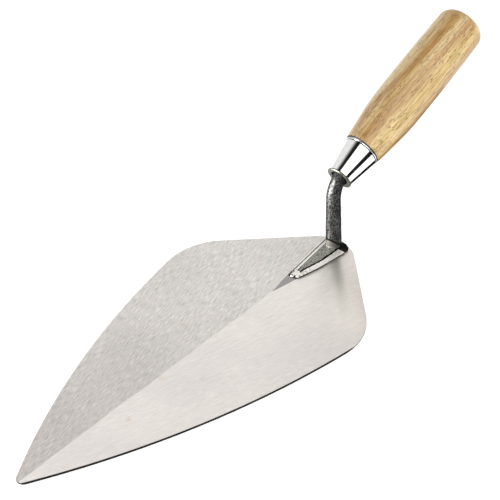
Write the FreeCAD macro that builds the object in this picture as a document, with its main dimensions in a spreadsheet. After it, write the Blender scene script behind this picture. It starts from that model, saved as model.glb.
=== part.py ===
import FreeCAD, Part
import math
import os
import Sketcher

# Brick trowel, millimetres. The blade lies flat on z = 0 with its point towards -X, the handle rises
# towards +X, and the origin is on the blade's flat underside, straight below the shank's upright rod.

V = FreeCAD.Vector
doc = FreeCAD.newDocument("brick_trowel")
sheet = doc.addObject("Spreadsheet::Sheet", "Sizes")

SIZES = [
    ("blade_length", 280, "point to heel"),
    ("blade_width", 140, "across the shoulders"),
    ("tip_radius", 4.3, "rounding of the point"),
    ("side_radius", 580, "long curve of each side"),
    ("shoulder_radius", 40, "rounding of each shoulder"),
    ("shoulder_from_heel", 75, "heel to the widest place"),
    ("heel_radius", 23.3, "rounding of the heel"),
    ("tip_thickness", 1, "on the centre line at the point"),
    ("ridge_thickness", 1.7, "on the centre line at the heel"),
    ("shoulder_edge", 0.8, "edge thickness at the shoulders"),
    ("seat_from_heel", 64, "heel to the front of the flat ground on the ridge"),
    ("bevel_width", 11, "ground band along each heel edge"),
    ("bevel_drop", 0.6, "how far the band falls at the heel edge"),
    ("foot_length", 38.9, "foot of the shank, nose to heel end"),
    ("foot_nose", 1.8, "width of the foot's nose"),
    ("foot_width", 10, "width of the foot in front of the rod"),
    ("foot_height", 1.5, "foot above its seat beside the rod"),
    ("nose_height", 0.9, "foot above its seat at the nose"),
    ("foot_setback", 1.1, "heel edge to the end of the foot"),
    ("pad_width", 20.4, "pad around the rod"),
    ("pad_length", 5.9, "pad along the blade"),
    ("pad_end", 12, "width of the pad at the heel"),
    ("pad_taper", 3, "length over which the pad narrows"),
    ("weld_reach", 7.2, "weld in front of the foot's nose"),
    ("weld_front", 6.8, "width of the weld at its front"),
    ("weld_slope", 0.8, "lean of the weld's front face"),
    ("weld_crown", 3.2, "width of the weld's top at its front"),
    ("weld_height", 1.2, "weld above the seat"),
    ("weld_groove", 0.25, "undercut between weld and foot"),
    ("rod_diameter", 10, "rod of the shank at the foot"),
    ("rod_neck", 8.5, "rod where it ends against the wood"),
    ("rod_from_heel", 6.9, "heel edge to the rod's axis"),
    ("rod_rise", 37, "underside to the start of the bend"),
    ("bend_radius", 18, "to the rod's axis"),
    ("handle_lift", 22.2, "degrees between blade and handle"),
    ("bend_inside", 7, "bend ends this far inside the collar"),
    ("tang_offset", 1, "tang above the middle of the handle"),
    ("tang_diameter", 7.4, "tang where it enters the wood"),
    ("tang_tip", 4, "diameter of the tang's end"),
    ("tang_length", 62, "tang in the wood"),
    ("collar_thickness", 1.4, "ring at the ferrule's small end"),
    ("collar_land", 2.4, "width of the ring from hole to rim"),
    ("collar_gap", 0.5, "rod to the ring's hole"),
    ("ferrule_length", 22, "cone of the ferrule"),
    ("ferrule_step", 1, "ring's hole to the ferrule's bore"),
    ("ferrule_big", 23.4, "big end, outside"),
    ("ferrule_wall", 0.8, "sheet thickness"),
    ("shank_shoulder", 1.4, "bend's end to the rod's end face"),
    ("spigot_gap", 0.05, "wood to the ferrule's bore"),
    ("tang_gap", 0.1, "wood to the tang"),
    ("bore_relief", 2, "bore past the tang's end"),
    ("wood_length", 111.3, "shoulder to butt"),
    ("neck_step", 0.45, "wood stands out past the ferrule"),
    ("swell_at", 20, "end of the straight swell"),
    ("swell_share", 0.63, "part of the swell reached there"),
    ("belly_at", 60, "fullest place"),
    ("belly_diameter", 31.56, "fullest diameter"),
    ("belly_radius", 1500, "long curve of the grip"),
    ("butt_corner", 7.5, "rounding of the butt's edge"),
    ("butt_dome", 38, "dome of the butt"),
]

DERIVED = [
    ("shoulder_x", "=blade_length - shoulder_from_heel"),
    ("shoulder_y", "=blade_width / 2 - shoulder_radius"),
    ("heel_x", "=blade_length - heel_radius"),
    ("ridge_fall", "=(ridge_thickness - tip_thickness) / blade_length"),
    ("side_fall", "=(tip_thickness + ridge_fall * shoulder_x - shoulder_edge) / (blade_width / 2)"),
    ("roof_low", "=tip_thickness - blade_width * side_fall"),
    ("roof_floor", "=-ridge_thickness - blade_width * side_fall"),
    ("seat_start", "=blade_length - seat_from_heel"),
    ("seat_z", "=tip_thickness + ridge_fall * seat_start"),
    ("seat_front", "=seat_start - ridge_thickness"),
    ("seat_half", "=weld_front * 2"),
    ("past_heel", "=blade_length + heel_radius"),
    ("foot_end", "=blade_length - foot_setback"),
    ("foot_start", "=foot_end - foot_length"),
    ("pad_start", "=foot_end - pad_length"),
    ("pad_turn", "=foot_end - pad_taper"),
    ("foot_nose_half", "=foot_nose / 2"),
    ("foot_half", "=foot_width / 2"),
    ("pad_half", "=pad_width / 2"),
    ("heel_gap", "=sqrt((heel_x - shoulder_x) ^ 2 + shoulder_y ^ 2)"),
    ("heel_turn", "=acos((shoulder_radius - heel_radius) / heel_gap)"
                  " - atan(shoulder_y / (heel_x - shoulder_x))"),
    ("heel_edge_x", "=heel_x + heel_radius * cos(heel_turn)"),
    ("heel_edge_y", "=heel_radius * sin(heel_turn)"),
    ("bevel_inner_z", "=tip_thickness + ridge_fall * (heel_edge_x - bevel_width * cos(heel_turn))"
                      " - side_fall * (heel_edge_y - bevel_width * sin(heel_turn))"),
    ("bevel_edge_z", "=tip_thickness + ridge_fall * heel_edge_x - side_fall * heel_edge_y"
                     " - bevel_drop"),
    ("bevel_rise", "=bevel_inner_z - bevel_edge_z"),
    ("bevel_back", "=-2 * bevel_width"),
    ("bevel_back_z", "=bevel_edge_z + 2 * bevel_rise"),
    ("bevel_out_z", "=bevel_edge_z - bevel_rise"),
    ("bevel_top", "=2 * ridge_thickness"),
    ("pad_end_half", "=pad_end / 2"),
    ("weld_start", "=foot_start - weld_reach"),
    ("weld_top_start", "=weld_start + weld_slope"),
    ("weld_half", "=weld_front / 2"),
    ("weld_crown_half", "=weld_crown / 2"),
    ("weld_rear_half", "=max(foot_half; rod_radius) + weld_groove"),
    ("groove_start", "=foot_start - weld_groove"),
    ("groove_nose", "=foot_nose_half + weld_groove"),
    ("rod_x", "=blade_length - rod_from_heel"),
    ("rod_radius", "=rod_diameter / 2"),
    ("rod_front", "=rod_x - rod_radius"),
    ("foot_above", "=foot_height * 2"),
    ("turn", "=90 - handle_lift"),
    ("bend_end_x", "=rod_x + bend_radius * (1 - cos(turn * 1deg))"),
    ("bend_end_z", "=rod_rise + bend_radius * sin(turn * 1deg)"),
    ("mouth_x", "=bend_end_x - bend_inside * cos(handle_lift * 1deg)"
                " + tang_offset * sin(handle_lift * 1deg)"),
    ("mouth_z", "=bend_end_z - bend_inside * sin(handle_lift * 1deg)"
                " - tang_offset * cos(handle_lift * 1deg)"),
    ("rod_end", "=bend_inside + shank_shoulder"),
    ("rod_end_x", "=bend_end_x + shank_shoulder * cos(handle_lift * 1deg)"),
    ("rod_end_z", "=bend_end_z + shank_shoulder * sin(handle_lift * 1deg)"),
    ("neck_round", "=(rod_diameter + rod_neck) / 4"),
    ("rod_reach", "=bend_radius - tang_offset"
                  " - sqrt((bend_radius - neck_round) ^ 2 - bend_inside ^ 2)"),
    ("collar_hole", "=rod_reach + collar_gap"),
    ("collar_rim", "=collar_thickness / 2"),
    ("collar_flat", "=collar_hole + collar_land - collar_rim"),
    ("small_bore", "=collar_hole + ferrule_step"),
    ("small_r", "=small_bore + ferrule_wall"),
    ("big_r", "=ferrule_big / 2"),
    ("big_bore", "=big_r - ferrule_wall"),
    ("ferrule_end", "=collar_thickness + ferrule_length"),
    ("spigot_big", "=big_bore - spigot_gap"),
    ("spigot_length", "=ferrule_end - rod_end"),
    ("spigot_small", "=spigot_big - (big_r - small_r) * spigot_length / ferrule_length"),
    ("neck_r", "=big_r + neck_step"),
    ("swell_r", "=neck_r + (belly_diameter / 2 - neck_r) * swell_share"),
    ("belly_drop", "=belly_diameter / 2 - belly_radius"),
    ("bore_front", "=tang_diameter / 2 + tang_gap"),
    ("bore_tip", "=tang_tip / 2 + tang_gap"),
    ("bore_length", "=tang_length + bore_relief"),
    ("spigot_start", "=-spigot_length"),
    ("zero", "=0"),
]

row = 0
for name, content, note in SIZES + [(n, c, "worked out") for n, c in DERIVED]:
    row += 1
    sheet.set("A%d" % row, name)
    sheet.set("B%d" % row, str(content))
    sheet.setAlias("B%d" % row, name)
    sheet.set("C%d" % row, note)
doc.recompute()


def size(name):
    """The value of one named cell; a leading minus sign turns it round."""
    value = sheet.get(name.lstrip("-"))
    value = float(getattr(value, "Value", value))
    return -value if name.startswith("-") else value


def bind(obj, **links):
    """Ties properties to cells. Double underscores in a property's name stand for dots."""
    for prop, name in links.items():
        obj.setExpression(prop.replace("__", "."), name)


def cell(name):
    return "-Sizes." + name[1:] if name.startswith("-") else "Sizes." + name


def pin(sketch, geo, pos, x=None, y=None):
    """Holds one point of a sketch at named distances from the sketch's origin."""
    for kind, name in (("DistanceX", x), ("DistanceY", y)):
        if name is not None:
            at = sketch.addConstraint(Sketcher.Constraint(kind, -1, 1, geo, pos, size(name)))
            sketch.setExpression("Constraints[%d]" % at, cell(name))


def radius(sketch, geo, name):
    at = sketch.addConstraint(Sketcher.Constraint("Radius", geo, size(name)))
    sketch.setExpression("Constraints[%d]" % at, cell(name))


def new_sketch(label, placement=None):
    sketch = doc.addObject("Sketcher::SketchObject", label)
    if placement is not None:
        sketch.Placement = placement
    return sketch


def polygon(label, points, placement=None):
    """A closed outline of straight lines through points given as pairs of cell names."""
    sketch = new_sketch(label, placement)
    at = [V(size(x), size(y), 0) for x, y in points]
    count = len(at)
    for i in range(count):
        sketch.addGeometry(Part.LineSegment(at[i], at[(i + 1) % count]))
    for i in range(count):
        sketch.addConstraint(Sketcher.Constraint("Coincident", i, 2, (i + 1) % count, 1))
        pin(sketch, i, 1, *points[i])
    return sketch


def both_sides(points):
    """The points of one half outline, then the same points mirrored in the centre line."""
    return points + [(x, "-" + y) for x, y in reversed(points)]


def arc(centre, r, start, end):
    """An arc drawn anticlockwise from one point to another."""
    angles = [math.atan2(p.y - centre.y, p.x - centre.x) for p in (start, end)]
    return Part.ArcOfCircle(Part.Circle(centre, V(0, 0, 1), r), *angles)


def along(a, b, length):
    """The point at a distance from a on the line through b."""
    step = b - a
    return a + step * (length / step.Length)


def extrude(label, sketch, length, direction=None):
    """An extrusion of a sketch, as a solid."""
    body = doc.addObject("Part::Extrusion", label)
    body.Base = sketch
    body.DirMode = "Custom"
    body.Dir = direction or V(0, 0, 1)
    body.Solid = True
    body.setExpression("LengthFwd", length)
    return body


def revolve(label, sketch):
    """A full turn of a sketch about its own horizontal axis."""
    body = doc.addObject("Part::Revolution", label)
    body.Source = sketch
    body.Axis = V(1, 0, 0)
    body.Angle = 360
    body.Solid = True
    return body


def boolean(kind, label, *members):
    body = doc.addObject("Part::" + kind, label)
    if kind == "Cut":
        body.Base, body.Tool = members
    else:
        body.Shapes = list(members)
    body.Refine = True
    return body


TURN_ABOUT_Y = FreeCAD.Rotation(V(0, -1, 0), size("handle_lift"))


def on_handle_axis(body, x, z):
    """Stands a piece drawn along +X on the handle's slanting axis, at named x and z."""
    body.Placement = FreeCAD.Placement(V(size(x) - size("rod_x"), 0, size(z)), TURN_ABOUT_Y)
    bind(body, Placement__Base__x="Sizes.%s - Sizes.rod_x" % x, Placement__Base__z="Sizes." + z,
         Placement__Rotation__Angle="Sizes.handle_lift")


def on_blade(body):
    """Moves a piece drawn from the blade's point so that the origin is below the rod."""
    body.Placement.Base.x = -size("rod_x")
    bind(body, Placement__Base__x="-Sizes.rod_x")


# Blade outline, one half: point, long side, shoulder, straight heel edge, heel, centre line.
outline = new_sketch("BladeHalfOutline")
tip = V(size("tip_radius"), 0, 0)
shoulder = V(size("shoulder_x"), size("shoulder_y"), 0)
heel = V(size("heel_x"), 0, 0)
side_r, tip_r = size("side_radius"), size("tip_radius")
shoulder_r, heel_r = size("shoulder_radius"), size("heel_radius")
gap = (shoulder - tip).Length
to_tip, to_shoulder = side_r - tip_r, side_r - shoulder_r
back = (to_tip ** 2 - to_shoulder ** 2 + gap ** 2) / (2 * gap)
unit = (shoulder - tip) / gap
centre = tip + unit * back + V(unit.y, -unit.x, 0) * math.sqrt(to_tip ** 2 - back ** 2)
lean = heel - shoulder
angle = math.atan2(lean.y, lean.x) + math.acos((shoulder_r - heel_r) / lean.Length)
normal = V(math.cos(angle), math.sin(angle), 0)
p_tip = along(centre, tip, side_r)
p_side = along(centre, shoulder, side_r)
p_shoulder = shoulder + normal * shoulder_r
p_heel = heel + normal * heel_r
origin, end = V(0, 0, 0), V(size("blade_length"), 0, 0)
for piece in (arc(tip, tip_r, p_tip, origin), arc(centre, side_r, p_side, p_tip),
              arc(shoulder, shoulder_r, p_shoulder, p_side), Part.LineSegment(p_shoulder, p_heel),
              arc(heel, heel_r, end, p_heel), Part.LineSegment(end, origin)):
    outline.addGeometry(piece)
for joint in ((0, 1, 1, 2), (1, 1, 2, 2), (2, 1, 3, 1), (3, 2, 4, 2)):
    outline.addConstraint(Sketcher.Constraint("Tangent", *joint))
outline.addConstraint(Sketcher.Constraint("Coincident", 4, 1, 5, 1))
outline.addConstraint(Sketcher.Constraint("Coincident", 5, 2, -1, 1))
outline.addConstraint(Sketcher.Constraint("Coincident", 0, 2, -1, 1))
for geo, pos in ((0, 3), (4, 3), (4, 1)):
    outline.addConstraint(Sketcher.Constraint("PointOnObject", geo, pos, -1))
for geo, name in ((0, "tip_radius"), (1, "side_radius"), (2, "shoulder_radius"), (4, "heel_radius")):
    radius(outline, geo, name)
pin(outline, 2, 3, "shoulder_x", "shoulder_y")
pin(outline, 4, 1, "blade_length")

# The blank is the outline raised past the ridge; a slanted roof with two falls grinds it thin.
half = extrude("BladeHalf", outline, "Sizes.ridge_thickness * 2")
other = doc.addObject("Part::Mirroring", "BladeOtherHalf")
other.Source = half
other.Normal = V(0, 1, 0)
blank = boolean("MultiFuse", "BladeBlank", half, other)
UPRIGHT = FreeCAD.Placement(V(0, 0, 0), FreeCAD.Rotation(V(1, 1, 1), 120))
roof_line = polygon("BladeRoofSection", [
    ("-blade_width", "roof_floor"), ("blade_width", "roof_floor"), ("blade_width", "roof_low"),
    ("zero", "tip_thickness"), ("-blade_width", "roof_low")], UPRIGHT)
roof = extrude("BladeRoof", roof_line, "Sizes.past_heel * sqrt(1 + Sizes.ridge_fall ^ 2)")
roof.Dir = V(1, 0, size("ridge_fall"))
bind(roof, Dir__z="Sizes.ridge_fall")
ground = boolean("MultiCommon", "BladeGround", blank, roof)

# A flat ground on the ridge: a free triangle in front, then the seat of the foot and its weld.
seat_line = polygon("SeatOutline", both_sides([
    ("seat_front", "seat_half"), ("weld_start", "seat_half"), ("weld_start", "weld_half"),
    ("pad_start", "pad_half"), ("past_heel", "pad_half")]))
seat = extrude("SeatCut", seat_line, "Sizes.ridge_thickness")
bind(seat, Placement__Base__z="Sizes.seat_z")
seated = boolean("Cut", "BladeSeated", ground, seat)

# A shallow band ground along both heel edges, widest beside the foot.
ACROSS = FreeCAD.Placement(V(0, 0, 0), FreeCAD.Rotation(V(1, 0, 0), 90))
bevel_line = polygon("BevelSection", [("bevel_back", "bevel_back_z"), ("bevel_width", "bevel_out_z"),
                                      ("bevel_width", "bevel_top"), ("bevel_back", "bevel_top")], ACROSS)
bevel = extrude("BevelCut", bevel_line, "Sizes.heel_radius", V(0, -1, 0))
bind(bevel, LengthRev="Sizes.blade_width / 2", Placement__Base__x="Sizes.heel_edge_x",
     Placement__Base__y="Sizes.heel_edge_y")
bevel.Placement.Rotation = FreeCAD.Rotation(V(0, 0, 1), size("heel_turn"))
bind(bevel, Placement__Rotation__Angle="Sizes.heel_turn")
bevel_other = doc.addObject("Part::Mirroring", "BevelOther")
bevel_other.Source = bevel
bevel_other.Normal = V(0, 1, 0)
bevels = boolean("MultiFuse", "Bevels", bevel, bevel_other)
blade = boolean("Cut", "Blade", seated, bevels)
blade.Label = "blade"
on_blade(blade)

# Shank: a flat foot, an upright round rod cranked into the handle, and a tapered tang.
foot_line = polygon("FootOutline", both_sides([
    ("foot_start", "foot_nose_half"), ("pad_start", "foot_half"), ("pad_start", "pad_half"),
    ("pad_turn", "pad_half"), ("foot_end", "pad_end_half")]))
foot_blank = extrude("FootBlank", foot_line, "Sizes.foot_height")
bind(foot_blank, LengthRev="Sizes.bevel_drop", Placement__Base__x="-Sizes.rod_x",
     Placement__Base__z="Sizes.seat_z")
slope_line = polygon("FootSlope", [("foot_start", "nose_height"), ("rod_front", "foot_height"),
                                   ("rod_front", "foot_above"), ("foot_start", "foot_above")], ACROSS)
slope_cut = extrude("FootSlopeCut", slope_line, "Sizes.pad_width", V(0, -1, 0))
bind(slope_cut, LengthRev="Sizes.pad_width", Placement__Base__x="-Sizes.rod_x",
     Placement__Base__z="Sizes.seat_z")
foot_sloped = boolean("Cut", "FootSloped", foot_blank, slope_cut)
foot = boolean("Cut", "Foot", foot_sloped, blade)
rod_path = new_sketch("RodPath", ACROSS)
bend_r, rise = size("bend_radius"), size("rod_rise")
bend_centre = V(bend_r, rise, 0)
bend_start = V(0, rise, 0)
bend_end = V(size("bend_end_x") - size("rod_x"), size("bend_end_z"), 0)
rod_end = V(size("rod_end_x") - size("rod_x"), size("rod_end_z"), 0)
rod_path.addGeometry(Part.LineSegment(V(0, size("seat_z"), 0), bend_start))
rod_path.addGeometry(arc(bend_centre, bend_r, bend_end, bend_start))
rod_path.addGeometry(Part.LineSegment(bend_end, rod_end))
rod_path.addConstraint(Sketcher.Constraint("Tangent", 0, 2, 1, 2))
rod_path.addConstraint(Sketcher.Constraint("Tangent", 1, 1, 2, 1))
rod_path.addConstraint(Sketcher.Constraint("PointOnObject", 0, 1, -2))
rod_path.addConstraint(Sketcher.Constraint("PointOnObject", 0, 2, -2))
pin(rod_path, 0, 1, None, "seat_z")
pin(rod_path, 0, 2, None, "rod_rise")
radius(rod_path, 1, "bend_radius")
for kind, prop in (("DistanceX", "rod_end_x - Sizes.rod_x"), ("DistanceY", "rod_end_z")):
    value = rod_end.x if kind == "DistanceX" else rod_end.y
    spot = rod_path.addConstraint(Sketcher.Constraint(kind, -1, 1, 2, 2, value))
    rod_path.setExpression("Constraints[%d]" % spot, "Sizes." + prop)
rod_low = doc.addObject("Part::Circle", "RodAtFoot")
bind(rod_low, Radius="Sizes.rod_radius", Placement__Base__z="Sizes.seat_z")
rod_high = doc.addObject("Part::Circle", "RodAtNeck")
rod_high.Placement.Rotation = FreeCAD.Rotation(V(0, 1, 0), size("turn"))
bind(rod_high, Radius="Sizes.rod_neck / 2", Placement__Base__x="Sizes.rod_end_x - Sizes.rod_x",
     Placement__Base__z="Sizes.rod_end_z", Placement__Rotation__Angle="Sizes.turn")
rod = doc.addObject("Part::Sweep", "Rod")
rod.Sections = [rod_low, rod_high]
rod.Spine = (rod_path, ["Edge1", "Edge2", "Edge3"])
rod.Solid = True
rod.Transition = "Right corner"
tang = doc.addObject("Part::Cone", "Tang")
bind(tang, Radius1="Sizes.tang_diameter / 2", Radius2="Sizes.tang_tip / 2", Height="Sizes.tang_length",
     Placement__Base__x="Sizes.rod_end_x - Sizes.rod_x", Placement__Base__z="Sizes.rod_end_z")
tang.Placement.Rotation = FreeCAD.Rotation(V(0, 1, 0), size("turn"))
bind(tang, Placement__Rotation__Angle="Sizes.turn")
shank = boolean("MultiFuse", "Shank", foot, rod, tang)
shank.Label = "shank"

# Weld: one ground bead round the nose and both sides of the foot, on the same seat.
weld_low = polygon("WeldFootprint", both_sides([("weld_start", "weld_half"), ("pad_start", "pad_half")]))
weld_top = polygon("WeldCrown", both_sides([("weld_top_start", "weld_crown_half"),
                                            ("pad_start", "weld_rear_half")]))
bind(weld_top, Placement__Base__z="Sizes.weld_height")
weld_mass = doc.addObject("Part::Loft", "WeldMass")
weld_mass.Sections = [weld_low, weld_top]
weld_mass.Solid = True
weld_mass.Ruled = True
groove_line = polygon("GrooveOutline", both_sides([("groove_start", "groove_nose"),
                                                   ("pad_start", "weld_rear_half"),
                                                   ("past_heel", "weld_rear_half")]))
groove = extrude("GrooveCut", groove_line, "Sizes.foot_height")
bind(groove, LengthRev="Sizes.bevel_drop")
weld_root = extrude("WeldRoot", weld_low, "Sizes.zero")
bind(weld_root, LengthRev="Sizes.bevel_drop")
weld_bead = boolean("MultiFuse", "WeldBead", weld_mass, weld_root)
bead = boolean("Cut", "WeldOpen", weld_bead, groove)
on_blade(bead)
bind(bead, Placement__Base__z="Sizes.seat_z")
weld = boolean("Cut", "Weld", bead, blade)
weld.Label = "weld"

# Collar: a ring with a rounded rim at the ferrule's small end.
ring = new_sketch("CollarSection")
hole, flat, rim = size("collar_hole"), size("collar_flat"), size("collar_rim")
thick = size("collar_thickness")
corners = [V(0, hole, 0), V(0, flat, 0), V(thick, flat, 0), V(thick, hole, 0)]
ring.addGeometry(Part.LineSegment(corners[0], corners[1]))
ring.addGeometry(arc(V(rim, flat, 0), rim, corners[2], corners[1]))
ring.addGeometry(Part.LineSegment(corners[2], corners[3]))
ring.addGeometry(Part.LineSegment(corners[3], corners[0]))
for joint in ((0, 2, 1, 2), (1, 1, 2, 1), (2, 2, 3, 1), (3, 2, 0, 1)):
    ring.addConstraint(Sketcher.Constraint("Coincident", *joint))
pin(ring, 0, 1, "zero", "collar_hole")
pin(ring, 1, 3, "collar_rim", "collar_flat")
pin(ring, 0, 2, "zero", "collar_flat")
pin(ring, 2, 1, None, "collar_flat")
pin(ring, 2, 2, "collar_thickness", "collar_hole")
collar = revolve("Collar", ring)
collar.Label = "collar"
on_handle_axis(collar, "mouth_x", "mouth_z")

# Ferrule: a plain cone of sheet between the collar and the wood's shoulder.
cone = polygon("FerruleSection", [("collar_thickness", "small_bore"), ("collar_thickness", "small_r"),
                                  ("ferrule_end", "big_r"), ("ferrule_end", "big_bore")])
ferrule = revolve("Ferrule", cone)
ferrule.Label = "ferrule"
on_handle_axis(ferrule, "mouth_x", "mouth_z")

# Handle: turned wood with a spigot inside the ferrule, a bore for the tang and a domed butt.
grip = new_sketch("HandleSection")
neck = V(0, size("neck_r"), 0)
swell = V(size("swell_at"), size("swell_r"), 0)
belly_r, corner_r, dome_r = size("belly_radius"), size("butt_corner"), size("butt_dome")
belly_c = V(size("belly_at"), size("belly_drop"), 0)
dome_c = V(size("wood_length") - dome_r, 0, 0)
slope = (swell - neck).normalize()
inward = V(slope.y, -slope.x, 0)
reach = swell - belly_c
swell_r = (belly_r ** 2 - reach.Length ** 2) / (2 * (belly_r + reach.dot(inward)))
swell_c = swell + inward * swell_r
p_belly = along(belly_c, swell_c, belly_r)
span = (dome_c - belly_c).Length
far, near = belly_r - corner_r, dome_r - corner_r
foot_of = (far ** 2 - near ** 2 + span ** 2) / (2 * span)
unit = (dome_c - belly_c) / span
corner_c = belly_c + unit * foot_of + V(unit.y, -unit.x, 0) * math.sqrt(far ** 2 - foot_of ** 2)
p_corner = along(belly_c, corner_c, belly_r)
p_dome = along(dome_c, corner_c, dome_r)
butt = V(size("wood_length"), 0, 0)
rest = [V(size("spigot_start"), 0, 0), V(size("spigot_start"), size("spigot_small"), 0),
        V(0, size("spigot_big"), 0)]
for piece in (Part.LineSegment(neck, swell), arc(swell_c, swell_r, p_belly, swell),
              arc(belly_c, belly_r, p_corner, p_belly), arc(corner_c, corner_r, p_dome, p_corner),
              arc(dome_c, dome_r, butt, p_dome)):
    grip.addGeometry(piece)
loop = [butt] + rest + [neck]
for a, b in zip(loop, loop[1:]):
    grip.addGeometry(Part.LineSegment(a, b))
for joint in ((0, 2, 1, 2), (1, 1, 2, 2), (2, 1, 3, 2), (3, 1, 4, 2)):
    grip.addConstraint(Sketcher.Constraint("Tangent", *joint))
grip.addConstraint(Sketcher.Constraint("Coincident", 4, 1, 5, 1))
for geo in (5, 6, 7):
    grip.addConstraint(Sketcher.Constraint("Coincident", geo, 2, geo + 1, 1))
grip.addConstraint(Sketcher.Constraint("Coincident", 8, 2, 0, 1))
pin(grip, 0, 1, "zero", "neck_r")
pin(grip, 0, 2, "swell_at", "swell_r")
pin(grip, 2, 3, "belly_at", "belly_drop")
for geo, name in ((2, "belly_radius"), (3, "butt_corner"), (4, "butt_dome")):
    radius(grip, geo, name)
grip.addConstraint(Sketcher.Constraint("PointOnObject", 4, 3, -1))
pin(grip, 5, 1, "wood_length", "zero")
pin(grip, 5, 2, "spigot_start", "zero")
pin(grip, 6, 2, "spigot_start", "spigot_small")
pin(grip, 7, 2, "zero", "spigot_big")
turned = revolve("HandleTurned", grip)
bore = doc.addObject("Part::Cone", "TangBore")
bore.Placement.Rotation = FreeCAD.Rotation(V(0, 1, 0), 90)
bind(bore, Radius1="Sizes.bore_front", Radius2="Sizes.bore_tip", Height="Sizes.bore_length",
     Placement__Base__x="Sizes.spigot_start", Placement__Base__z="Sizes.tang_offset")
handle = boolean("Cut", "Handle", turned, bore)
handle.Label = "handle"
doc.recompute()
shoulder_x = "(Sizes.mouth_x + Sizes.ferrule_end * cos(Sizes.handle_lift * 1deg))"
shoulder_z = "(Sizes.mouth_z + Sizes.ferrule_end * sin(Sizes.handle_lift * 1deg))"
handle.Placement = FreeCAD.Placement(V(0, 0, 0), TURN_ABOUT_Y)
bind(handle, Placement__Base__x=shoulder_x + " - Sizes.rod_x", Placement__Base__z=shoulder_z,
     Placement__Rotation__Angle="Sizes.handle_lift")

doc.recompute()
os.makedirs("parts", exist_ok=True)
for obj in doc.Objects:
    if "Invalid" in obj.State or "Error" in obj.State or not obj.isValid():
        raise RuntimeError("%s did not build: %s" % (obj.Label, obj.State))
    if hasattr(obj, "Shape") and not obj.Shape.isNull() and not obj.Shape.isValid():
        raise RuntimeError("%s has an invalid shape" % obj.Label)
for node in (blade, shank, weld, collar, ferrule, handle):
    if len(node.Shape.Solids) != 1:
        raise RuntimeError("%s is not one solid" % node.Label)
    node.Shape.exportStep("parts/%s.step" % node.Label)
    box = node.Shape.BoundBox
    print("%-8s volume %9.1f  x %8.2f %8.2f  y %7.2f %7.2f  z %7.2f %7.2f" % (
        node.Label, node.Shape.Volume, box.XMin, box.XMax, box.YMin, box.YMax, box.ZMin, box.ZMax))
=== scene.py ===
import bpy
import math
from mathutils import Matrix, Vector


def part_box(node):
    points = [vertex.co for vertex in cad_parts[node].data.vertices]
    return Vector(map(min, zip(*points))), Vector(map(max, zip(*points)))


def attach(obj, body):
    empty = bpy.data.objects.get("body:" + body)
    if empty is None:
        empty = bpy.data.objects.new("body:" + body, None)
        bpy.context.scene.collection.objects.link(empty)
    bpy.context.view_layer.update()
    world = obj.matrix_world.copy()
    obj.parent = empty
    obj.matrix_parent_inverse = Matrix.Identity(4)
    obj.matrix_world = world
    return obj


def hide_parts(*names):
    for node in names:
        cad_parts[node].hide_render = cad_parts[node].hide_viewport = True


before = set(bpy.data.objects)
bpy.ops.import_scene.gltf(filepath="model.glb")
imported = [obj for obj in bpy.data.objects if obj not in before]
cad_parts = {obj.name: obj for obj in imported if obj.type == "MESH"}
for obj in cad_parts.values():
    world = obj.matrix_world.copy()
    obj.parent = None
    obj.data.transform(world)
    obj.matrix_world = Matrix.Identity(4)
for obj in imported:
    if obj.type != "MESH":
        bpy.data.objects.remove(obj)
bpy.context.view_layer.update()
MM = 0.001


# BLADE. One plate of tool steel, ground thin towards its edges from a low ridge on the centre line.
# The grinding strokes run beside each long edge, so they meet in a V along the ridge. The frame's own
# plate has the right facets; it is welded into one skin here and its sharp edges are broken.
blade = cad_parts["blade"]
blade_low, blade_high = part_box("blade")
point_round, side_round, shoulder_round = 4.3 * MM, 580 * MM, 40 * MM
shoulder_from_heel = 75 * MM
left_lean, right_lean = math.radians(11), math.radians(17)
stroke_stretch, scratch_stretch = 0.06, 0.05
flat_start_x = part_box("weld")[0].x - 18 * MM
flat_end_x = flat_start_x + 23 * MM
flat_widening = 0.19
heel_line_turn = math.radians(43.7)
heel_line_reach = blade_high.x * math.cos(heel_line_turn) + 6.45 * MM
heel_band_middle, heel_band_inner, heel_band_outer = 12 * MM, 18 * MM, 7 * MM
dark_line = 0.8 * MM
edge_break = 0.12 * MM


def new_material(name):
    """An empty material, its nodes and its shader."""
    material = bpy.data.materials.new(name)
    material.use_nodes = True
    return material, material.node_tree, material.node_tree.nodes["Principled BSDF"]


def reckon(tree, kind, a, b=None, c=None, clamp=False):
    """One step of arithmetic between numbers or sockets."""
    node = tree.nodes.new("ShaderNodeMath")
    node.operation = kind
    node.use_clamp = clamp
    for socket, value in zip(node.inputs, (a, b, c)):
        if value is None:
            continue
        if hasattr(value, "default_value"):
            tree.links.new(value, socket)
        else:
            socket.default_value = value
    return node.outputs[0]


def soft_step(tree, value, start, end, low=0.0, high=1.0):
    """Goes smoothly from low to high while the value goes from start to end."""
    node = tree.nodes.new("ShaderNodeMapRange")
    node.interpolation_type = "SMOOTHSTEP"
    tree.links.new(value, node.inputs["Value"])
    for key, number in (("From Min", start), ("From Max", end), ("To Min", low), ("To Max", high)):
        node.inputs[key].default_value = number
    return node.outputs[0]


def blend(tree, share, first, second, how="MIX"):
    """A colour between two colours, by a share from 0 to 1."""
    node = tree.nodes.new("ShaderNodeMix")
    node.data_type = "RGBA"
    node.blend_type = how
    for socket, value in ((node.inputs[0], share), (node.inputs[6], first), (node.inputs[7], second)):
        if hasattr(value, "default_value"):
            tree.links.new(value, socket)
        elif isinstance(value, tuple):
            socket.default_value = (*value, 1) if len(value) == 3 else value
        else:
            socket.default_value = value
    return node.outputs[2]


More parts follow.
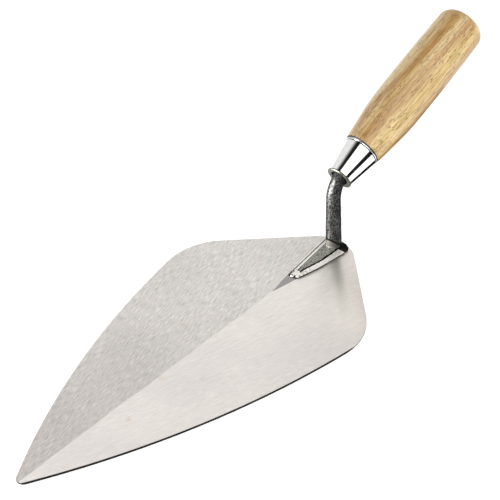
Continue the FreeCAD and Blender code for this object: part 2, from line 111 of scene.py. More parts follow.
def cloud(tree, where, scale, detail=4, roughness=0.55, distortion=0.0):
    """A noise value from 0 to 1 at a place."""
    node = tree.nodes.new("ShaderNodeTexNoise")
    tree.links.new(where, node.inputs["Vector"])
    node.inputs["Scale"].default_value = scale
    node.inputs["Detail"].default_value = detail
    node.inputs["Roughness"].default_value = roughness
    node.inputs["Distortion"].default_value = distortion
    return node.outputs["Fac"]


def place(tree, x, y, z=0.0):
    """A place made of three numbers or sockets."""
    node = tree.nodes.new("ShaderNodeCombineXYZ")
    for socket, value in zip(node.inputs, (x, y, z)):
        if hasattr(value, "default_value"):
            tree.links.new(value, socket)
        else:
            socket.default_value = value
    return node.outputs[0]


def own_place(tree):
    """The piece's own coordinates, whole and split into x, y and z."""
    whole = tree.nodes.new("ShaderNodeTexCoord").outputs["Object"]
    split = tree.nodes.new("ShaderNodeSeparateXYZ")
    tree.links.new(whole, split.inputs[0])
    return whole, *split.outputs


def facing_up(tree):
    """How far the piece's own surface faces up: 1 on a level top, -1 on an underside."""
    split = tree.nodes.new("ShaderNodeSeparateXYZ")
    tree.links.new(tree.nodes.new("ShaderNodeTexCoord").outputs["Normal"], split.inputs[0])
    return split.outputs["Z"]


def vector_step(tree, operation, first, second=None):
    """One step of arithmetic with places, such as the distance between two."""
    node = tree.nodes.new("ShaderNodeVectorMath")
    node.operation = operation
    tree.links.new(first, node.inputs[0])
    if second is not None:
        node.inputs[1].default_value = second
    single = operation in ("DISTANCE", "DOT_PRODUCT", "LENGTH")
    return node.outputs["Value" if single else "Vector"]


def bump(tree, height, depth, strength=1.0):
    """A surface direction that follows small heights."""
    node = tree.nodes.new("ShaderNodeBump")
    node.inputs["Strength"].default_value = strength
    node.inputs["Distance"].default_value = depth
    tree.links.new(height, node.inputs["Height"])
    return node.outputs["Normal"]


def long_side_centre():
    """The centre of a long side's arc, which runs into the roundings of the point and the shoulder."""
    point_centre = Vector((blade_low.x + point_round, 0))
    between = Vector((blade_high.x - shoulder_from_heel, blade_high.y - shoulder_round)) - point_centre
    to_point, to_shoulder = side_round - point_round, side_round - shoulder_round
    along_line = (to_point ** 2 - to_shoulder ** 2 + between.length ** 2) / (2 * between.length)
    off_line = math.sqrt(to_point ** 2 - along_line ** 2)
    way = between.normalized()
    return point_centre + way * along_line + Vector((way.y, -way.x)) * off_line


def painted_half_shading(tree, x, out, left):
    """Painted light and shade: pale to the right of the ridge and darker to its left, each a little paler
    towards the heel, the right half a little darker towards its edge.
    """
    toward_heel = soft_step(tree, reckon(tree, "SUBTRACT", x, blade_low.x), 0.0, 240 * MM)
    toward_edge = soft_step(tree, out, 0.0, 60 * MM)
    left_painted_shade = blend(tree, toward_heel, (0.585, 0.55, 0.525), (0.75, 0.715, 0.685))
    right_painted_light = blend(tree, toward_heel, (0.83, 0.785, 0.755), (0.86, 0.82, 0.78))
    edge_share = reckon(tree, "MULTIPLY", toward_edge, 0.5)
    right_painted_light = blend(tree, edge_share, right_painted_light, (0.80, 0.755, 0.725))
    return blend(tree, left, right_painted_light, left_painted_shade)


def heel_shade(tree, x, out, right):
    """The band of painted shade beside the right heel edge, darkest next to the foot."""
    reach = reckon(tree, "MULTIPLY_ADD", x, math.cos(heel_line_turn),
                   reckon(tree, "MULTIPLY", out, math.sin(heel_line_turn)))
    inward = reckon(tree, "SUBTRACT", heel_line_reach, reach)
    band = reckon(tree, "MULTIPLY", soft_step(tree, inward, heel_band_outer, heel_band_middle),
                  soft_step(tree, inward, heel_band_inner, heel_band_middle))
    band = reckon(tree, "MULTIPLY", band, soft_step(tree, out, 58 * MM, 6 * MM))
    return reckon(tree, "MULTIPLY", reckon(tree, "MULTIPLY", band, right), 0.7)


def ridge_flat(tree, x, out):
    """The plain flat on the ridge in front of the foot, which widens towards the foot."""
    half = reckon(tree, "MULTIPLY", reckon(tree, "SUBTRACT", x, flat_start_x), flat_widening)
    flat = soft_step(tree, reckon(tree, "SUBTRACT", half, out), -0.1 * MM, 0.15 * MM)
    before_foot = soft_step(tree, x, flat_end_x + 1 * MM, flat_end_x - 1 * MM)
    return reckon(tree, "MULTIPLY", flat, before_foot)


def painted_edge_shade(tree, x, out, right):
    """Painted shade on the cut edge, and on a line beside it on the right."""
    up = facing_up(tree)
    not_top, underside = soft_step(tree, up, 0.9, 0.5), soft_step(tree, up, -0.5, -0.9)
    edge = reckon(tree, "SUBTRACT", not_top, underside, clamp=True)
    from_centre = vector_step(tree, "DISTANCE", place(tree, x, out), (*long_side_centre(), 0))
    inside = reckon(tree, "SUBTRACT", side_round, from_centre)
    line = soft_step(tree, inside, dark_line + 0.15 * MM, dark_line - 0.15 * MM)
    return reckon(tree, "MAXIMUM", edge, reckon(tree, "MULTIPLY", line, right))


def ground_steel():
    material, tree, surface = new_material("ground_steel")
    whole, x, y, _ = own_place(tree)
    wander = reckon(tree, "MULTIPLY_ADD", cloud(tree, whole, 28, 2), 3.2 * MM, -1.6 * MM)
    left = soft_step(tree, reckon(tree, "ADD", y, wander), -0.4 * MM, 0.6 * MM)
    right = reckon(tree, "SUBTRACT", 1.0, left)
    out = reckon(tree, "ABSOLUTE", y)
    # the strokes run along one direction on each half and are very long for their width
    cosine = soft_step(tree, left, 0.0, 1.0, math.cos(right_lean), math.cos(left_lean))
    sine = soft_step(tree, left, 0.0, 1.0, math.sin(right_lean), math.sin(left_lean))
    run = reckon(tree, "MULTIPLY_ADD", x, cosine, reckon(tree, "MULTIPLY", out, sine))
    across = reckon(tree, "SUBTRACT", reckon(tree, "MULTIPLY", out, cosine),
                    reckon(tree, "MULTIPLY", x, sine))
    depth = reckon(tree, "MULTIPLY", left, 10 * MM)
    stroke_place = place(tree, reckon(tree, "MULTIPLY", run, stroke_stretch), across, depth)
    scratch_place = place(tree, reckon(tree, "MULTIPLY", run, scratch_stretch), across, depth)
    strokes = cloud(tree, stroke_place, 2800, 3, 0.7)
    scratches = cloud(tree, scratch_place, 1000, 3, 0.6)
    patches = cloud(tree, place(tree, run, across, depth), 18, 3, 0.5)
    # painted light and shade on the two halves of the blade
    colour = painted_half_shading(tree, x, out, left)
    stroke_tone = blend(tree, soft_step(tree, strokes, 0.36, 0.64), (0.76, 0.76, 0.76), (1.18, 1.18, 1.18))
    weight = soft_step(tree, left, 0.0, 1.0, 0.35, 1.0)
    colour = blend(tree, weight, colour, blend(tree, 1.0, colour, stroke_tone, "MULTIPLY"))
    scratch_tone = blend(tree, soft_step(tree, scratches, 0.35, 0.65), (0.95, 0.95, 0.95), (1.04, 1.04, 1.04))
    colour = blend(tree, 0.7, colour, blend(tree, 1.0, colour, scratch_tone, "MULTIPLY"))
    patch_tone = blend(tree, soft_step(tree, patches, 0.3, 0.7), (0.95, 0.95, 0.95), (1.03, 1.03, 1.02))
    colour = blend(tree, 1.0, colour, patch_tone, "MULTIPLY")
    # a few faint tan specks of old rust
    specks = soft_step(tree, cloud(tree, whole, 60, 2), 0.68, 0.76)
    colour = blend(tree, reckon(tree, "MULTIPLY", specks, 0.25), colour, (0.62, 0.40, 0.24))
    # painted shade in the band beside the right heel edge
    colour = blend(tree, heel_shade(tree, x, out, right), colour, (0.37, 0.365, 0.31))
    colour = blend(tree, ridge_flat(tree, x, out), colour, (0.36, 0.345, 0.34))
    # painted shade: the edge and the line beside it go near-black
    colour = blend(tree, painted_edge_shade(tree, x, out, right), colour, (0.012, 0.011, 0.010))
    tree.links.new(colour, surface.inputs["Base Color"])
    surface.inputs["Metallic"].default_value = 0.85
    tree.links.new(soft_step(tree, strokes, 0.2, 0.8, 0.34, 0.5), surface.inputs["Roughness"])
    tree.links.new(bump(tree, strokes, 0.03 * MM, 0.5), surface.inputs["Normal"])
    return material


def broken_edges(piece, width):
    """Joins a frame node's loose triangles and takes the sharpness off its edges."""
    skin = piece.modifiers.new("one skin", "WELD")
    skin.merge_threshold = 0.002 * MM
    rounding = piece.modifiers.new("broken edges", "BEVEL")
    rounding.width = width
    rounding.segments = 2
    rounding.limit_method = "ANGLE"
    rounding.angle_limit = math.radians(40)


blade.data.materials.clear()
blade.data.materials.append(ground_steel())
broken_edges(blade, edge_break)


# SHANK. One steel bar, forged flat at its foot, left round where it stands up from the blade, and
# cranked over into a tapered tang. It keeps its grey forging scale, and the hammer marks under it.
foot_seat = 1.54 * MM
foot_root = 1.2 * MM
foot_nose_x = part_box("shank")[0].x
foot_end_x = blade_high.x - 1.2 * MM
pad_front_x = foot_end_x - 5.8 * MM
nose_half, foot_half, pad_right = 0.9 * MM, 5 * MM, 10 * MM
nose_top, foot_top = foot_seat + 0.9 * MM, foot_seat + 1.5 * MM
rod_radius, neck_radius = 5 * MM, 4.25 * MM
rod_front_x = -rod_radius
rod_rise, bend_radius = 37 * MM, 18 * MM
handle_lift = math.radians(22.2)
neck_length = 1.4 * MM
tang_length, tang_radius, tang_tip_radius = 62 * MM, 3.7 * MM, 2 * MM
rod_sides = 48


def grow(step):
    """Extrudes the open end of the mesh being edited by one step."""
    bpy.ops.mesh.extrude_region_move(TRANSFORM_OT_translate={"value": step})


def stretch(factors, centre):
    """Scales what is selected about a centre."""
    bpy.ops.transform.resize(value=factors, center_override=centre)


def forge_bar(name, stations, root):
    """A bar along X: at each station its x, its right and left side in y, and its top."""
    x, low, high, top = stations[0]
    bpy.ops.object.select_all(action="DESELECT")
    bpy.ops.mesh.primitive_plane_add(size=1, location=(x, (low + high) / 2, (root + top) / 2),
                                     rotation=(0, math.pi / 2, 0))
    bar = bpy.context.object
    bar.name = name
    bpy.ops.object.transform_apply()
    bpy.ops.object.mode_set(mode="EDIT")
    bpy.ops.mesh.select_all(action="SELECT")
    stretch((1, high - low, top - root), (x, (low + high) / 2, (root + top) / 2))
    for (x0, low0, high0, top0), (x1, low1, high1, top1) in zip(stations, stations[1:]):
        bar_step = (x1 - x0, (low1 + high1 - low0 - high0) / 2, (top1 - top0) / 2)
        grow(bar_step)
        stretch((1, (high1 - low1) / (high0 - low0), (top1 - root) / (top0 - root)),
                (x1, (low1 + high1) / 2, (root + top1) / 2))
    bpy.ops.mesh.select_all(action="SELECT")
    bpy.ops.mesh.normals_make_consistent(inside=False)
    bpy.ops.object.mode_set(mode="OBJECT")
    return bar


def open_ring(name, radius, sides, centre=(0, 0, 0)):
    """A bare ring in edit mode, ready to be grown into a tube or a turned shape."""
    bpy.ops.object.select_all(action="DESELECT")
    bpy.ops.mesh.primitive_circle_add(vertices=sides, radius=radius, location=centre)
    ring = bpy.context.object
    ring.name = name
    bpy.ops.object.transform_apply()
    bpy.ops.object.mode_set(mode="EDIT")
    bpy.ops.mesh.select_all(action="SELECT")
    return ring


def close_and_face_out():
    """Fills the open ends and turns every face outwards."""
    bpy.ops.mesh.select_all(action="DESELECT")
    bpy.ops.mesh.select_mode(type="EDGE")
    bpy.ops.mesh.select_non_manifold()
    bpy.ops.mesh.edge_face_add()
    bpy.ops.mesh.select_mode(type="VERT")
    bpy.ops.mesh.select_all(action="SELECT")
    bpy.ops.mesh.normals_make_consistent(inside=False)
    bpy.ops.object.mode_set(mode="OBJECT")


def settle(piece, *modifiers):
    """Adds modifiers one after another, each with its settings, and applies each."""
    bpy.ops.object.select_all(action="DESELECT")
    piece.select_set(True)
    bpy.context.view_layer.objects.active = piece
    for kind, settings in modifiers:
        step = piece.modifiers.new(kind.lower(), kind)
        for key, value in settings.items():
            setattr(step, key, value)
        bpy.ops.object.modifier_apply(modifier=step.name)


def uneven(name, size):
    """A cloudy height pattern for hammered or ground surfaces."""
    pattern = bpy.data.textures.new(name, "CLOUDS")
    pattern.noise_scale = size
    pattern.noise_depth = 2
    return pattern


def merged(name, *parts):
    """Several shapes joined in one object."""
    bpy.ops.object.select_all(action="DESELECT")
    for part in parts:
        part.select_set(True)
    bpy.context.view_layer.objects.active = parts[0]
    bpy.ops.object.join()
    parts[0].name = name
    return parts[0]


def finish_piece(piece, node, material, angle=40):
    """Smooth shading, its material, and its place in the frame."""
    bpy.ops.object.select_all(action="DESELECT")
    piece.select_set(True)
    bpy.context.view_layer.objects.active = piece
    bpy.ops.object.shade_smooth_by_angle(angle=math.radians(angle))
    piece.data.materials.clear()
    piece.data.materials.append(material)
    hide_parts(node)
    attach(piece, "root")


def foot_side(x):
    """Half the foot's width at a place along it."""
    return nose_half + (foot_half - nose_half) * (x - foot_nose_x) / -foot_nose_x


# The foot's left side is straight. Its right side bulges early, then runs nearly level to the pad.
bulge_x = foot_nose_x + 17.1 * MM
foot = forge_bar("shank_foot", [
    (foot_nose_x, -nose_half, nose_half, nose_top),
    (bulge_x, -4.0 * MM, foot_side(bulge_x), nose_top + 0.35 * MM),
    (rod_front_x, -4.3 * MM, foot_side(rod_front_x), foot_top),
    (pad_front_x - 0.5 * MM, -4.5 * MM, foot_half, foot_top),
    (pad_front_x, -pad_right, foot_half + 0.3 * MM, foot_top - 0.3 * MM),
    (pad_front_x + 3.1 * MM, -pad_right + 0.5 * MM, foot_half + 0.2 * MM, foot_top - 0.4 * MM),
    (foot_end_x, -5.5 * MM, foot_half - 0.8 * MM, foot_top - 0.6 * MM)], foot_root)

rod_foot_z = foot_root + 0.2 * MM
rod = open_ring("shank_rod", rod_radius, rod_sides, (0, 0, rod_foot_z))
rod_turn = math.radians(90) - handle_lift
rod_length = rod_rise - foot_seat + bend_radius * rod_turn
rise_steps, bend_steps = 8, 20
travelled, girth = 0.0, rod_radius


def girth_at(length):
    """The rod's radius at a distance from its foot: it thins evenly up to the neck."""
    return rod_radius + (neck_radius - rod_radius) * min(length / rod_length, 1)


rise = rod_rise - rod_foot_z
for number in range(1, rise_steps + 1):
    grow((0, 0, rise / rise_steps))
    travelled += rise / rise_steps
    factor = girth_at(travelled) / girth
    stretch((factor,) * 3, (0, 0, rod_rise - rise + rise * number / rise_steps))
    girth *= factor
bend_centre = Vector((bend_radius, 0, rod_rise))
for number in range(1, bend_steps + 1):
    turned_so_far = rod_turn * number / bend_steps
    grow((0, 0, 0))
    bpy.ops.transform.rotate(value=-rod_turn / bend_steps, orient_axis="Y", center_override=bend_centre)
    travelled += bend_radius * rod_turn / bend_steps
    factor = girth_at(travelled) / girth
    centre = bend_centre + bend_radius * Vector((-math.cos(turned_so_far), 0, math.sin(turned_so_far)))
    stretch((factor,) * 3, centre)
    girth *= factor
along = Vector((math.cos(handle_lift), 0, math.sin(handle_lift)))
bend_end = centre
for length, radius in ((neck_length, neck_radius), (0.0, tang_radius), (tang_length, tang_tip_radius)):
    grow(along * length)
    centre = centre + along * length
    stretch((radius / girth,) * 3, centre)
    girth = radius
close_and_face_out()
shank = merged("shank_forging", rod, foot)
settle(shank,
       ("REMESH", {"mode": "VOXEL", "voxel_size": 0.32 * MM}),
       ("SMOOTH", {"factor": 0.5, "iterations": 3}),
       ("DISPLACE", {"texture": uneven("hammering", 6 * MM), "strength": 0.25 * MM}),
       ("DISPLACE", {"texture": uneven("scale pits", 1.1 * MM), "strength": 0.10 * MM}))


def forging_scale():
    material, tree, surface = new_material("forging_scale")
    whole, x, y, z = own_place(tree)
    mottle = cloud(tree, place(tree, x, y, reckon(tree, "MULTIPLY", z, 0.6)), 1300, 4, 0.7)
    drift = cloud(tree, place(tree, x, y, reckon(tree, "MULTIPLY", z, 0.35)), 260, 3, 0.5)
    speck = soft_step(tree, mottle, 0.44, 0.60)
    colour = blend(tree, speck, (0.012, 0.012, 0.012), (0.10, 0.10, 0.098))
    tone = blend(tree, soft_step(tree, drift, 0.35, 0.65), (0.75, 0.75, 0.75), (1.25, 1.25, 1.25))
    colour = blend(tree, 1.0, colour, tone, "MULTIPLY")
    # the foot's top and the rod's front above it were brushed: browner, brighter, more speckled
    brush_end = reckon(tree, "MULTIPLY_ADD", x, -0.86, 4.4 * MM)
    above_brush = reckon(tree, "SUBTRACT", z, brush_end)
    brushed = soft_step(tree, above_brush, 0.05 * MM, -0.15 * MM)
    foot_speck = soft_step(tree, cloud(tree, whole, 1300, 4, 0.8), 0.40, 0.60)
    foot_colour = blend(tree, foot_speck, (0.085, 0.083, 0.07), (0.40, 0.395, 0.36))
    on_rod = soft_step(tree, z, 3.0 * MM, 4.2 * MM)
    foot_colour = blend(tree, reckon(tree, "MULTIPLY", on_rod, 0.85), foot_colour, (0.05, 0.05, 0.045))
    colour = blend(tree, brushed, colour, foot_colour)
    # near-black: scale and painted shade in the crease above the brushed part, painted shade on the foot's
    # steep sides, and black on the pad behind the rod
    ring = reckon(tree, "MULTIPLY", soft_step(tree, above_brush, -0.2 * MM, 0.0),
                  soft_step(tree, above_brush, 1.9 * MM, 1.0 * MM))
    pad = reckon(tree, "MULTIPLY", soft_step(tree, x, -1.0 * MM, -0.5 * MM),
                 soft_step(tree, z, 4.4 * MM, 3.4 * MM))
    slant = reckon(tree, "MULTIPLY_ADD", drift, 0.5, facing_up(tree))
    painted_side_shade = reckon(tree, "MULTIPLY", soft_step(tree, slant, 1.15, 1.05),
                  soft_step(tree, z, 3.5 * MM, 3.2 * MM))
    black = reckon(tree, "MAXIMUM", reckon(tree, "MAXIMUM", ring, pad), painted_side_shade)
    colour = blend(tree, black, colour, (0.010, 0.010, 0.009))
    tree.links.new(colour, surface.inputs["Base Color"])
    surface.inputs["Metallic"].default_value = 0.8
    surface.inputs["Specular Tint"].default_value = (0.1, 0.1, 0.1, 1)
    gloss = soft_step(tree, mottle, 0.2, 0.8, 0.36, 0.52)
    tree.links.new(reckon(tree, "MULTIPLY_ADD", brushed, 0.22, gloss), surface.inputs["Roughness"])
    height = reckon(tree, "ADD", mottle, reckon(tree, "MULTIPLY", foot_speck, brushed))
    tree.links.new(bump(tree, height, 0.10 * MM, 0.7), surface.inputs["Normal"])
    return material


finish_piece(shank, "shank", forging_scale())


# WELD. A bead run round the foot's nose and along both its sides, then ground down to bright flats
# beside the dark scale. Slag stays black in the grooves that the grinder didn't reach.
weld_front_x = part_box("weld")[0].x
weld_end_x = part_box("weld")[1].x
weld_root, slag_top = 1.3 * MM, 1.75 * MM
bead_top = foot_seat + 1.15 * MM


def spread(x, start, end):
    """A side's y at a place along the weld, between its values at the two ends."""
    return start + (end - start) * (x - weld_front_x) / (weld_end_x - weld_front_x)


def bead(name, start_x, end_x, near, far, top, sink=0.0):
    """One ground strip of weld, between its two sides."""
    stations = []
    for step in range(9):
        x = start_x + (end_x - start_x) * step / 8
        sides = sorted((spread(x, *near), spread(x, *far)))
        stations.append((x, *sides, top - sink * (1 - step / 8)))
    return forge_bar(name, stations, weld_root)


slag = bead("weld_slag", weld_front_x + 0.2 * MM, weld_end_x, (-3.4 * MM, -9.6 * MM),
            (3.0 * MM, 7.9 * MM), slag_top)
# The right strip is wide and bows out; the left side has a narrow strip at its edge and one by the foot.
right_bead = forge_bar("weld_right", [
    (weld_front_x + 1.5 * MM, -3.9 * MM, -1.9 * MM, bead_top - 0.4 * MM),
    (weld_front_x + 3.1 * MM, -4.5 * MM, -1.5 * MM, bead_top - 0.1 * MM),
    (weld_front_x + 7.8 * MM, -5.7 * MM, -2.0 * MM, bead_top),
    (weld_front_x + 16.3 * MM, -7.5 * MM, -3.6 * MM, bead_top),
    (weld_end_x - 15.9 * MM, -8.7 * MM, -5.0 * MM, bead_top - 0.05 * MM),
    (weld_end_x - 7.9 * MM, -9.6 * MM, -5.3 * MM, bead_top),
    (weld_end_x - 1.7 * MM, -10.2 * MM, -5.2 * MM, bead_top)], weld_root)
left_outer = bead("weld_left_outer", weld_front_x + 4.2 * MM, weld_end_x + 2.0 * MM, (3.4 * MM, 8.2 * MM),
                  (2.6 * MM, 7.3 * MM), bead_top - 0.1 * MM, 0.2 * MM)
left_inner = bead("weld_left_inner", weld_front_x + 3.4 * MM, weld_end_x, (1.9 * MM, 6.6 * MM),
                  (0.1 * MM, 5.0 * MM), bead_top + 0.05 * MM, 0.2 * MM)
nose_bead = forge_bar("weld_nose", [
    (weld_front_x + 0.3 * MM, -0.9 * MM, 0.9 * MM, bead_top - 0.5 * MM),
    (weld_front_x + 1.6 * MM, -1.3 * MM, 1.6 * MM, bead_top + 0.1 * MM),
    (weld_front_x + 3.0 * MM, -1.7 * MM, 1.2 * MM, bead_top),
    (foot_nose_x - 2.2 * MM, -2.2 * MM, 2.2 * MM, bead_top),
    (foot_nose_x - 0.4 * MM, -1.2 * MM, 1.6 * MM, bead_top - 0.1 * MM)], weld_root)
weld = merged("weld_bead", right_bead, slag, left_outer, left_inner, nose_bead)
settle(weld,
       ("REMESH", {"mode": "VOXEL", "voxel_size": 0.16 * MM}),
       ("SMOOTH", {"factor": 0.5, "iterations": 2}),
       ("DISPLACE", {"texture": uneven("bead ripple", 1.6 * MM), "strength": 0.35 * MM}))


def ground_weld():
    material, tree, surface = new_material("ground_weld")
    whole, x, y, z = own_place(tree)
    ragged = reckon(tree, "MULTIPLY_ADD", cloud(tree, whole, 900, 3, 0.7), 0.7 * MM, -0.35 * MM)
    ground = soft_step(tree, reckon(tree, "ADD", z, ragged), slag_top + 0.2 * MM, slag_top + 0.5 * MM)
    ground = reckon(tree, "MULTIPLY", ground, soft_step(tree, facing_up(tree), 0.35, 0.6))
    streaks = cloud(tree, place(tree, reckon(tree, "MULTIPLY", x, 0.25), y, z), 2200, 3, 0.6)
    bright = blend(tree, soft_step(tree, streaks, 0.3, 0.7), (0.74, 0.72, 0.66), (1.0, 0.98, 0.93))
    pits = soft_step(tree, cloud(tree, whole, 620, 3, 0.7), 0.54, 0.60)
    ahead_of_foot = soft_step(tree, x, foot_nose_x + 9 * MM, foot_nose_x - 1 * MM)
    pits = reckon(tree, "MULTIPLY", pits, ahead_of_foot)
    bright = blend(tree, pits, bright, (0.06, 0.058, 0.05))
    colour = blend(tree, ground, (0.02, 0.019, 0.016), bright)
    tree.links.new(colour, surface.inputs["Base Color"])
    surface.inputs["Metallic"].default_value = 0.6
    tree.links.new(soft_step(tree, ground, 0, 1, 0.6, 0.38), surface.inputs["Roughness"])
    tree.links.new(bump(tree, streaks, 0.05 * MM, 0.6), surface.inputs["Normal"])
    return material


finish_piece(weld, "weld", ground_weld(), 30)


# COLLAR. A thin plated ring round the neck of the shank, at the ferrule's small end. Its rim is
# rolled over and stands a little proud of the cone behind it.
bend_inside, tang_offset = 7 * MM, 1 * MM
below_handle = Vector((math.sin(handle_lift), 0, -math.cos(handle_lift)))
mouth = bend_end - along * bend_inside + below_handle * tang_offset
collar_thickness, collar_outer, collar_hole = 1.4 * MM, 8.5 * MM, 5.6 * MM


def turned(name, profile, sides, closed=True):
    """A turned shape on the handle's axis, from (distance from the mouth, radius) all round."""
    height, radius = profile[0]
    piece = open_ring(name, radius, sides, (0, 0, height))
    for (height0, radius0), (height1, radius1) in zip(profile, profile[1:]):
        grow((0, 0, height1 - height0))
        stretch((radius1 / radius0, radius1 / radius0, 1), (0, 0, height1))
    if closed:
        bpy.ops.mesh.select_all(action="DESELECT")
        bpy.ops.mesh.select_mode(type="EDGE")
        bpy.ops.mesh.select_non_manifold()
        bpy.ops.mesh.bridge_edge_loops()
        bpy.ops.mesh.select_mode(type="VERT")
        bpy.ops.mesh.select_all(action="SELECT")
        bpy.ops.mesh.normals_make_consistent(inside=False)
        bpy.ops.object.mode_set(mode="OBJECT")
    else:
        close_and_face_out()
    piece.matrix_world = Matrix.Translation(mouth) @ Matrix.Rotation(math.pi / 2 - handle_lift, 4, "Y")
    bpy.ops.object.select_all(action="DESELECT")
    piece.select_set(True)
    bpy.context.view_layer.objects.active = piece
    bpy.ops.object.transform_apply()
    return piece


def quarter(height, radius, round_by, start, end, steps=6):
    """Points round an edge whose centre is at height and radius, between two angles."""
    return [(height + round_by * math.sin(math.radians(start + (end - start) * step / steps)),
             radius + round_by * math.cos(math.radians(start + (end - start) * step / steps)))
            for step in range(steps + 1)]


rim = collar_thickness / 2
hole_round = rim * 0.4
collar = turned("collar_ring", [
    *quarter(hole_round + 0.35 * MM, collar_hole + hole_round, hole_round, -180, -90),
    *quarter(rim, collar_outer - rim, rim, -90, 90, 12),
    (collar_thickness, collar_hole)], 96)


def dull_plate():
    material, tree, surface = new_material("dull_plate")
    whole = own_place(tree)[0]
    wear = cloud(tree, whole, 700, 4, 0.65)
    colour = blend(tree, soft_step(tree, wear, 0.35, 0.65), (0.045, 0.047, 0.034), (0.19, 0.195, 0.15))
    tree.links.new(colour, surface.inputs["Base Color"])
    surface.inputs["Metallic"].default_value = 0.9
    tree.links.new(soft_step(tree, wear, 0.2, 0.8, 0.25, 0.45), surface.inputs["Roughness"])
    tree.links.new(bump(tree, wear, 0.05 * MM, 0.5), surface.inputs["Normal"])
    return material


finish_piece(collar, "collar", dull_plate())


# FERRULE. A cone of thin sheet steel, drawn, chrome plated and pressed on the spigot of the handle.
# Its wide end has a small rolled lip with a fine groove in front of it.
ferrule_start, ferrule_end = 1.4 * MM, 23.4 * MM
ferrule_small, ferrule_big, ferrule_wall = 7.9 * MM, 11.7 * MM, 0.8 * MM
ferrule_taper = (ferrule_big - ferrule_small) / (ferrule_end - ferrule_start)


def cone(height):
    """The cone's outer radius at a distance from the mouth."""
    return ferrule_small + ferrule_taper * (height - ferrule_start)


lip, edge_round = 0.35 * MM, 0.25 * MM
groove = ferrule_end - 1.25 * MM
groove_width, groove_depth = 0.5 * MM, 0.3 * MM
skin_stops = (ferrule_start + 0.6 * MM, groove - 0.4 * MM, groove - 0.1 * MM)
ferrule = turned("ferrule_cone", [
    (ferrule_start, cone(ferrule_start) - ferrule_wall),
    *quarter(ferrule_start + edge_round, cone(ferrule_start) - edge_round, edge_round, -90, 0),
    *[(height, cone(height)) for height in skin_stops],
    (groove, cone(groove) - groove_depth), (groove + groove_width, cone(groove) - groove_depth),
    *quarter(ferrule_end - lip, ferrule_big - lip, lip, -60, 90, 8),
    (ferrule_end, ferrule_big - ferrule_wall),
    (ferrule_start + 1 * MM, cone(ferrule_start + 1 * MM) - ferrule_wall)], 128)


def chrome():
    material, tree, surface = new_material("chrome")
    whole = own_place(tree)[0]
    haze = cloud(tree, whole, 500, 4, 0.6)
    colour = blend(tree, soft_step(tree, haze, 0.3, 0.7), (0.88, 0.875, 0.86), (0.95, 0.945, 0.935))
    # painted shade darkens the groove before the lip
    height = reckon(tree, "SUBTRACT", vector_step(tree, "DOT_PRODUCT", whole, along), mouth.dot(along))
    behind = reckon(tree, "SUBTRACT", height, groove)
    groove_shade = reckon(tree, "MULTIPLY", soft_step(tree, behind, -0.12 * MM, -0.02 * MM),
                  soft_step(tree, behind, groove_width + 0.1 * MM, groove_width))
    colour = blend(tree, groove_shade, colour, (0.02, 0.018, 0.016))
    # painted shade: the bore inside the cone is black
    off_axis = vector_step(tree, "CROSS_PRODUCT", vector_step(tree, "SUBTRACT", whole, mouth), along)
    off_axis = vector_step(tree, "LENGTH", off_axis)
    skin = reckon(tree, "MULTIPLY_ADD", height, ferrule_taper, ferrule_small - ferrule_start * ferrule_taper)
    bore_shade = soft_step(tree, reckon(tree, "SUBTRACT", skin, off_axis), 0.5 * MM, 0.6 * MM)
    colour = blend(tree, bore_shade, colour, (0.008, 0.007, 0.006))
    tree.links.new(colour, surface.inputs["Base Color"])
    surface.inputs["Metallic"].default_value = 1.0
    surface.inputs["Specular Tint"].default_value = (0.72, 0.72, 0.72, 1)
    tree.links.new(soft_step(tree, haze, 0.2, 0.8, 0.05, 0.10), surface.inputs["Roughness"])
    tree.links.new(bump(tree, cloud(tree, whole, 220, 2), 0.004 * MM, 0.2), surface.inputs["Normal"])
    return material


finish_piece(ferrule, "ferrule", chrome(), 50)


# HANDLE. Turned from one piece of beech, sanded and dipped in clear lacquer. It swells from the
# ferrule to a long belly and ends in a rounded butt; a spigot inside the ferrule holds it.
wood_length, neck_radius_wood, swell_radius = 111.25 * MM, 12.15 * MM, 14.44 * MM
swell_at, belly_at, belly_radius, belly_curve = 20 * MM, 60 * MM, 15.78 * MM, 1500 * MM
blend_at = 38.4 * MM
butt_corner, butt_dome, dome_rise = 7.5 * MM, 38 * MM, 0.95 * MM
bore_gap = 0.1 * MM


def belly(length):
    """The long curve of the grip, fullest at the belly."""
    return belly_radius - (length - belly_at) ** 2 / (2 * belly_curve)


def wood_girth(length):
    """The handle's radius at a distance from the ferrule, up to the butt's corner."""
    if length < swell_at:
        return neck_radius_wood + (swell_radius - neck_radius_wood) * length / swell_at
    if length > blend_at:
        return belly(length)
    share = (length - swell_at) / (blend_at - swell_at)
    slope_start = (swell_radius - neck_radius_wood) / swell_at * (blend_at - swell_at)
    slope_end = -(blend_at - belly_at) / belly_curve * (blend_at - swell_at)
    rise = belly(blend_at) - swell_radius
    return (swell_radius + slope_start * share + (3 * rise - 2 * slope_start - slope_end) * share ** 2
            + (slope_start + slope_end - 2 * rise) * share ** 3)


corner_x = wood_length - butt_corner - dome_rise
corner_r = belly(corner_x) - butt_corner
dome_x = wood_length - butt_dome
corner_end = 90 - math.degrees(math.atan2(corner_r, corner_x - dome_x))
shoulder, shoulder_round_by = ferrule_end + 0.12 * MM, 0.5 * MM
spigot_end = ferrule_start + 3 * MM
spigot_gap = ferrule_wall + bore_gap
wood = [(spigot_end, 5 * MM), (spigot_end, cone(spigot_end) - spigot_gap),
        (shoulder - 0.4 * MM, ferrule_big - spigot_gap), (shoulder, ferrule_big - spigot_gap)]
wood += quarter(shoulder + shoulder_round_by, ferrule_big - 0.42 * MM, shoulder_round_by, -90, -10)
wood += [(ferrule_end + length * MM, wood_girth(length * MM)) for length in range(3, 102, 3)]
wood += quarter(ferrule_end + corner_x, corner_r, butt_corner, 0, corner_end, 10)
dome_start = wood[-1][1]
for step in range(1, 7):
    radius = dome_start * (1 - step / 6.5)
    wood.append((ferrule_end + dome_x + math.sqrt(butt_dome ** 2 - radius ** 2), radius))
handle = turned("handle_grip", wood, 128, closed=False)


